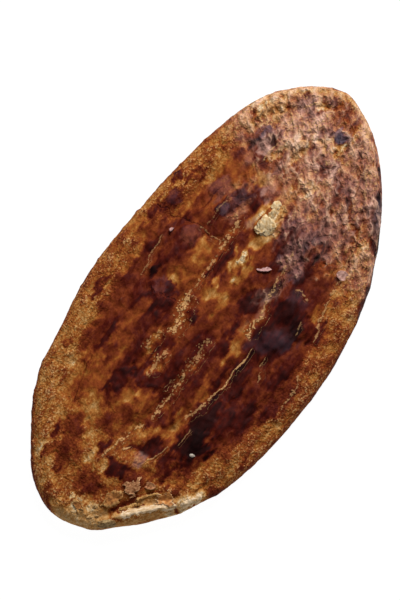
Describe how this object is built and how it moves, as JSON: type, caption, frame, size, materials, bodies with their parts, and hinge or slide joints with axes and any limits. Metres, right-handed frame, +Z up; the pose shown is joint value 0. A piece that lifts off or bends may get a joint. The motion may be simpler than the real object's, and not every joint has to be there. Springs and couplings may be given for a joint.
{
  "type": "turkish pide",
  "caption": "Whole plain pide: a long flat oval loaf with a raised rim, finger furrows, a blistered scorched crust and a torn rim at its blunt end.",
  "frame": {"origin": "under the middle of the loaf's outline, on the plane it rests on", "axes": "+X along the loaf towards its narrower end, +Y across it, +Z up"},
  "size_m": [0.2999, 0.1482, 0.0179],
  "materials": {
    "crust": "baked bread crust, golden and granular on the rims, scorched dark and satin on the ridges",
    "sesame": "dull ivory seed coat",
    "flake": "dry chips and flakes of crust"
  },
  "bodies": {
    "root": {"pide": "crust"}
  },
  "joints": []
}
